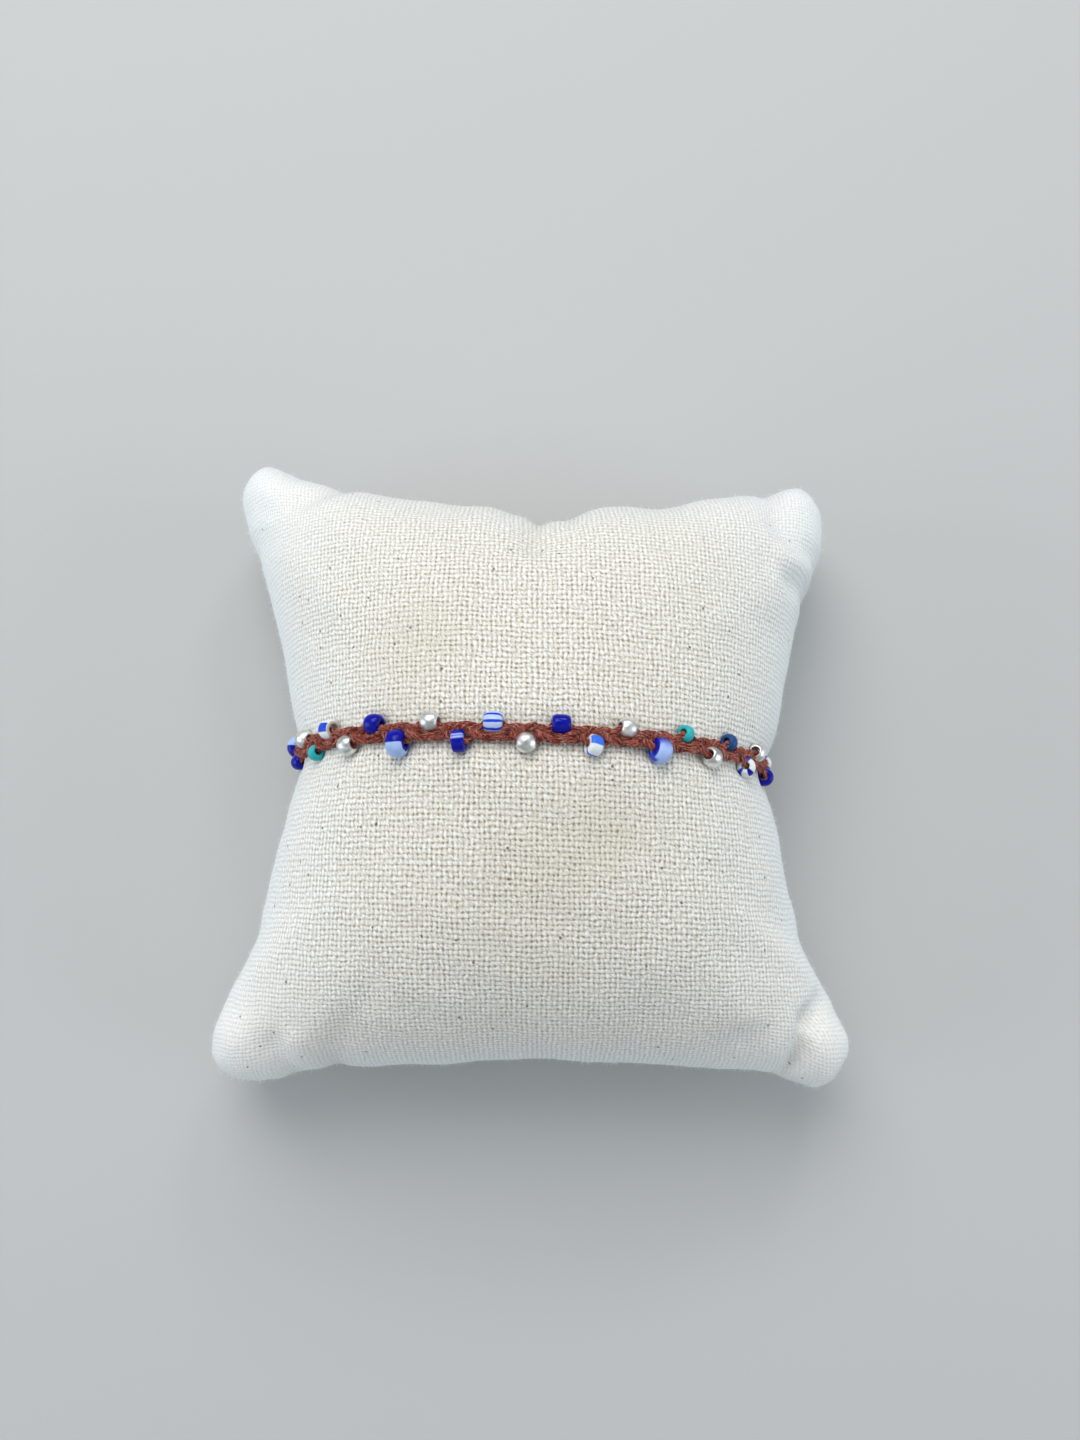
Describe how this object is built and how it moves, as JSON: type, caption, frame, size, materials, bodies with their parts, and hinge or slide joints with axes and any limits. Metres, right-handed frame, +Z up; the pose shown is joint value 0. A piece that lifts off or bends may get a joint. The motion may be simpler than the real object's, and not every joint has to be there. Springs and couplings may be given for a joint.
{
  "type": "beaded bracelet on a display pillow",
  "caption": "Slim braided thread bracelet with glass and metal beads along both edges, stretched around a plump stuffed cloth pillow that displays it and rests flat.",
  "frame": {"origin": "middle of the whole seen from above, on the plane that the pillow rests on", "axes": "+Z up out of the surface that the pillow lies on; +X along the bracelet's visible run, left to right for the viewer; +Y away from the viewer, across the bracelet"},
  "size_m": [0.1038, 0.1056, 0.0533],
  "materials": {
    "canvas": "plain woven cream cotton and linen canvas, matte",
    "waxed_thread": "reddish brown twisted thread bundles, slightly fuzzy",
    "silver": "satin silver-coloured metal",
    "cobalt_glass": "opaque gloss, deep blue",
    "ice_blue_glass": "opaque gloss, pale blue with a deep blue half",
    "white_glass": "opaque gloss white with thin blue stripes",
    "turquoise_glass": "opaque gloss turquoise",
    "steel_blue_glass": "opaque gloss slate blue"
  },
  "bodies": {
    "root": {"pillow": "canvas", "strand_beaded": "waxed_thread", "strand_second": "waxed_thread", "strand_third": "waxed_thread", "bead_far_01": "cobalt_glass", "bead_far_02": "ice_blue_glass", "bead_far_03": "silver", "bead_far_04": "white_glass", "bead_far_05": "cobalt_glass", "bead_far_06": "silver", "bead_far_07": "white_glass", "bead_far_08": "cobalt_glass", "bead_far_09": "silver", "bead_far_10": "turquoise_glass", "bead_far_11": "steel_blue_glass", "bead_far_12": "silver", "bead_far_13": "white_glass", "bead_far_14": "cobalt_glass", "bead_near_01": "silver", "bead_near_02": "cobalt_glass", "bead_near_03": "turquoise_glass", "bead_near_04": "silver", "bead_near_05": "ice_blue_glass", "bead_near_06": "cobalt_glass", "bead_near_07": "silver", "bead_near_08": "white_glass", "bead_near_09": "ice_blue_glass", "bead_near_10": "silver", "bead_near_11": "white_glass", "bead_near_12": "cobalt_glass", "bead_near_13": "silver", "clasp": "silver"}
  },
  "joints": []
}
